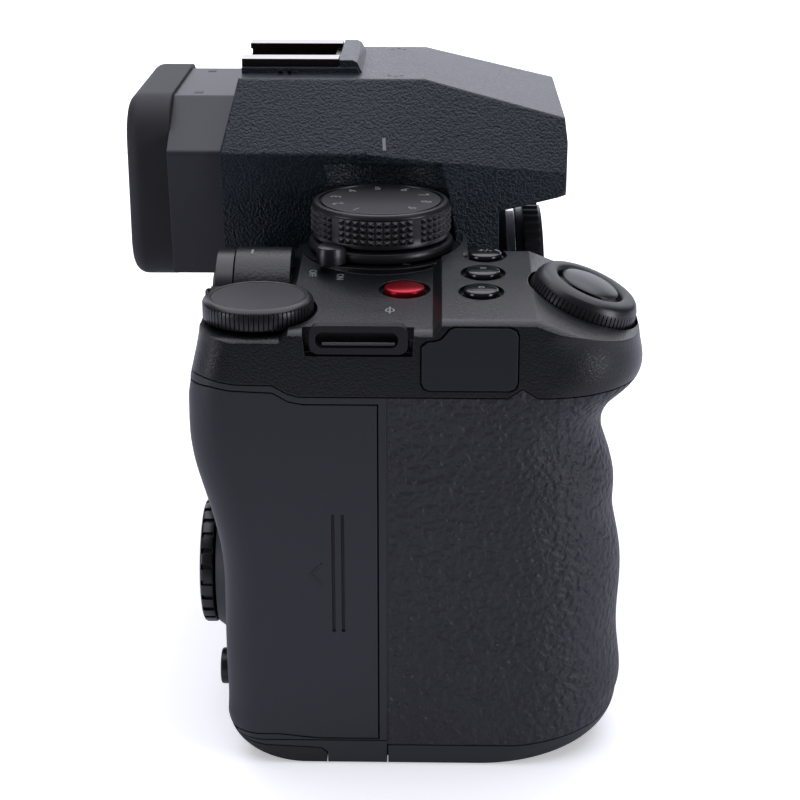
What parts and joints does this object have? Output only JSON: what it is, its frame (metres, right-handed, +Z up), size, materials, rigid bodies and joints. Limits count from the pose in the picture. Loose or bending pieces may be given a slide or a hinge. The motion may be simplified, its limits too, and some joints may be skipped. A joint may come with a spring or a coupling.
{
  "type": "mirrorless camera",
  "caption": "Mirrorless camera with a deep hand grip, top dials and buttons, eyepiece hump, side-hinged monitor, card and battery doors, and a lens mount under a push-on cap.",
  "frame": {"origin": "mouth of the tripod socket, on the base plane below the optical axis", "axes": "+X from the grip side towards the socket side, -Y towards the lens side, +Z up"},
  "size_m": [0.1346, 0.0866, 0.104],
  "materials": {
    "body_paint": "fine textured satin black",
    "cover_paint": "smooth satin black",
    "grip_rubber": "pebbled rubber",
    "soft_rubber": "smooth matt rubber",
    "control_black": "satin black",
    "button_gloss": "polished black",
    "record_red": "anodised red",
    "bright_chrome": "polished",
    "shoe_steel": "brushed",
    "contact_gold": "gold plated",
    "inner_frame": "cast",
    "board_green": "solder mask",
    "dark_glass": "coated",
    "battery_shell": "satin",
    "curtain_black": "matt"
  },
  "bodies": {
    "camera_body": {"card_door_arm": "cover_paint", "finder_housing": "body_paint", "grip_skin": "grip_rubber", "body_skin": "grip_rubber", "front_case": "body_paint", "rear_case": "body_paint", "top_cover": "body_paint", "base_plate": "body_paint", "case_screws": "shoe_steel", "tripod_bush": "contact_gold", "battery": "battery_shell", "accessory_shoe": "shoe_steel", "shoe_contacts": "contact_gold", "eyepiece_block": "cover_paint", "eyepiece_lens": "dark_glass", "eyecup": "soft_rubber", "finder_display": "dark_glass", "lens_mount": "bright_chrome", "mount_contacts": "contact_gold", "strap_lugs": "bright_chrome", "chassis": "inner_frame", "main_board": "board_green", "card_slots": "shoe_steel", "port_sockets": "board_green"},
    "card_door": {"card_door": "cover_paint"},
    "coupler_cover": {"coupler_cover": "soft_rubber"},
    "remote_cover": {"remote_cover": "soft_rubber"},
    "upper_port_cover": {"upper_port_cover": "soft_rubber"},
    "lower_port_cover": {"lower_port_cover": "soft_rubber"},
    "battery_door": {"battery_door": "cover_paint"},
    "battery_latch": {"battery_latch": "control_black"},
    "lens_button": {"lens_button": "control_black"},
    "lock_pin": {"lock_pin": "bright_chrome"},
    "body_cap": {"body_cap": "control_black"},
    "mode_dial": {"mode_dial": "control_black"},
    "power_lever": {"power_lever": "control_black"},
    "rear_dial": {"rear_dial": "control_black"},
    "front_dial": {"front_dial": "control_black"},
    "drive_dial": {"drive_dial": "control_black"},
    "control_wheel": {"control_wheel": "control_black"},
    "diopter_dial": {"diopter_dial": "control_black"},
    "shutter_button": {"shutter_button": "button_gloss"},
    "top_button_1": {"top_button_1": "control_black"},
    "top_button_2": {"top_button_2": "control_black"},
    "top_button_3": {"top_button_3": "control_black"},
    "record_button": {"record_button": "record_red"},
    "back_button": {"back_button": "control_black"},
    "play_button": {"play_button": "control_black"},
    "quick_button": {"quick_button": "control_black"},
    "set_button": {"set_button": "control_black"},
    "focus_button": {"focus_button": "control_black"},
    "focus_lever": {"focus_lever": "control_black"},
    "stick_gimbal": {"stick_gimbal": "shoe_steel"},
    "joystick": {"joystick": "control_black"},
    "sensor_stage": {"sensor_stage": "inner_frame"},
    "image_sensor": {"image_sensor": "dark_glass"},
    "shutter_curtain": {"shutter_curtain": "curtain_black"},
    "monitor": {"monitor_arm": "cover_paint", "monitor_shell": "cover_paint", "monitor_glass": "dark_glass"}
  },
  "joints": [
    {"name": "card_door_hinge", "type": "hinge", "parent": "camera_body", "child": "card_door", "pos_m": [-0.0693, 0.022, 0.0314], "axis": [0, 0, -1], "range_deg": [0, 90]},
    {"name": "coupler_cover_hinge", "type": "hinge", "parent": "camera_body", "child": "coupler_cover", "pos_m": [-0.061, 0.018, -0.00005], "axis": [0, -1, 0], "range_deg": [0, 90]},
    {"name": "remote_cover_hinge", "type": "hinge", "parent": "camera_body", "child": "remote_cover", "pos_m": [-0.07385, -0.012, 0.06495], "axis": [0, -1, 0], "range_deg": [0, 95]},
    {"name": "upper_port_hinge", "type": "hinge", "parent": "camera_body", "child": "upper_port_cover", "pos_m": [0.06085, 0.01705, 0.0484], "axis": [0, 0, 1], "range_deg": [0, 100]},
    {"name": "lower_port_hinge", "type": "hinge", "parent": "camera_body", "child": "lower_port_cover", "pos_m": [0.06085, 0.01705, 0.0234], "axis": [0, 0, 1], "range_deg": [0, 100]},
    {"name": "battery_door_hinge", "type": "hinge", "parent": "camera_body", "child": "battery_door", "pos_m": [-0.0454, -0.01, 0.00125], "axis": [0, -1, 0], "range_deg": [0, 100]},
    {"name": "battery_latch_slide", "type": "slide", "parent": "battery_door", "child": "battery_latch", "axis": [1, 0, 0], "range_m": [0, 0.003], "stiffness_N_per_m": 60},
    {"name": "lens_button_press", "type": "slide", "parent": "camera_body", "child": "lens_button", "axis": [0, 1, 0], "range_m": [0, 0.0015], "stiffness_N_per_m": 600},
    {"name": "lock_pin_slide", "type": "slide", "parent": "camera_body", "child": "lock_pin", "axis": [0, 1, 0], "range_m": [0, 0.0015], "stiffness_N_per_m": 100},
    {"name": "body_cap_lift", "type": "slide", "parent": "camera_body", "child": "body_cap", "axis": [0, -1, 0], "range_m": [0, 0.12]},
    {"name": "mode_dial_turn", "type": "hinge", "parent": "camera_body", "child": "mode_dial", "pos_m": [-0.036, 0.00235, 0.0814], "axis": [0, 0, 1], "continuous": true},
    {"name": "power_lever_turn", "type": "hinge", "parent": "camera_body", "child": "power_lever", "pos_m": [-0.036, 0.00235, 0.0774], "axis": [0, 0, 1], "range_deg": [0, 17]},
    {"name": "rear_dial_turn", "type": "hinge", "parent": "camera_body", "child": "rear_dial", "pos_m": [-0.064, 0.0205, 0.0744], "axis": [0, 0, 1], "continuous": true},
    {"name": "front_dial_turn", "type": "hinge", "parent": "camera_body", "child": "front_dial", "pos_m": [-0.056, -0.0312, 0.0768], "axis": [-0.0814, -0.3584, 0.93], "continuous": true},
    {"name": "drive_dial_turn", "type": "hinge", "parent": "camera_body", "child": "drive_dial", "pos_m": [0.042, 0.004, 0.0764], "axis": [0, 0, 1], "continuous": true},
    {"name": "control_wheel_turn", "type": "hinge", "parent": "camera_body", "child": "control_wheel", "pos_m": [-0.0486, 0.03, 0.0251], "axis": [0, 1, 0], "continuous": true},
    {"name": "diopter_turn", "type": "hinge", "parent": "camera_body", "child": "diopter_dial", "pos_m": [0.026, 0.0344, 0.0804], "axis": [1, 0, 0], "range_deg": [-120, 120]},
    {"name": "shutter_press", "type": "slide", "parent": "camera_body", "child": "shutter_button", "axis": [0.0814, 0.3584, -0.93], "range_m": [0, 0.0012], "stiffness_N_per_m": 800},
    {"name": "top_button_1_press", "type": "slide", "parent": "camera_body", "child": "top_button_1", "axis": [0, 0, -1], "range_m": [0, 0.0006], "stiffness_N_per_m": 900},
    {"name": "top_button_2_press", "type": "slide", "parent": "camera_body", "child": "top_button_2", "axis": [0, 0, -1], "range_m": [0, 0.0006], "stiffness_N_per_m": 900},
    {"name": "top_button_3_press", "type": "slide", "parent": "camera_body", "child": "top_button_3", "axis": [0, 0, -1], "range_m": [0, 0.0006], "stiffness_N_per_m": 900},
    {"name": "record_press", "type": "slide", "parent": "camera_body", "child": "record_button", "axis": [0, 0, -1], "range_m": [0, 0.0006], "stiffness_N_per_m": 900},
    {"name": "back_press", "type": "slide", "parent": "camera_body", "child": "back_button", "axis": [0, -1, 0], "range_m": [0, 0.0006], "stiffness_N_per_m": 900},
    {"name": "play_press", "type": "slide", "parent": "camera_body", "child": "play_button", "axis": [0, -1, 0], "range_m": [0, 0.0006], "stiffness_N_per_m": 900},
    {"name": "quick_press", "type": "slide", "parent": "camera_body", "child": "quick_button", "axis": [0, -1, 0], "range_m": [0, 0.0006], "stiffness_N_per_m": 900},
    {"name": "set_press", "type": "slide", "parent": "camera_body", "child": "set_button", "axis": [0, -1, 0], "range_m": [0, 0.0006], "stiffness_N_per_m": 900},
    {"name": "focus_press", "type": "slide", "parent": "camera_body", "child": "focus_button", "axis": [0, -1, 0], "range_m": [0, 0.0006], "stiffness_N_per_m": 900},
    {"name": "focus_lever_turn", "type": "hinge", "parent": "camera_body", "child": "focus_lever", "pos_m": [-0.044, 0.027, 0.0704], "axis": [0, 1, 0], "range_deg": [-25, 25]},
    {"name": "stick_tilt", "type": "hinge", "parent": "camera_body", "child": "stick_gimbal", "pos_m": [-0.0346, 0.0212, 0.0566], "axis": [1, 0, 0], "range_deg": [-8, 8], "stiffness_Nm_per_rad": 0.05},
    {"name": "stick_swing", "type": "hinge", "parent": "stick_gimbal", "child": "joystick", "pos_m": [-0.0346, 0.0212, 0.0566], "axis": [0, 0, 1], "range_deg": [-8, 8], "stiffness_Nm_per_rad": 0.05},
    {"name": "monitor_swing", "type": "hinge", "parent": "camera_body", "child": "monitor", "pos_m": [0.057, 0.0246, 0.0344], "axis": [0, 0, -1], "range_deg": [0, 180]},
    {"name": "sensor_shift", "type": "slide", "parent": "camera_body", "child": "sensor_stage", "axis": [1, 0, 0], "range_m": [-0.0005, 0.0005], "stiffness_N_per_m": 3000},
    {"name": "sensor_rise", "type": "slide", "parent": "sensor_stage", "child": "image_sensor", "axis": [0, 0, 1], "range_m": [-0.0005, 0.0005], "stiffness_N_per_m": 3000},
    {"name": "curtain_rise", "type": "slide", "parent": "camera_body", "child": "shutter_curtain", "axis": [0, 0, 1], "range_m": [0, 0.026]}
  ],
  "couplings": [
    {"joint": "lock_pin_slide", "follows": "lens_button_press", "ratio": 1}
  ]
}
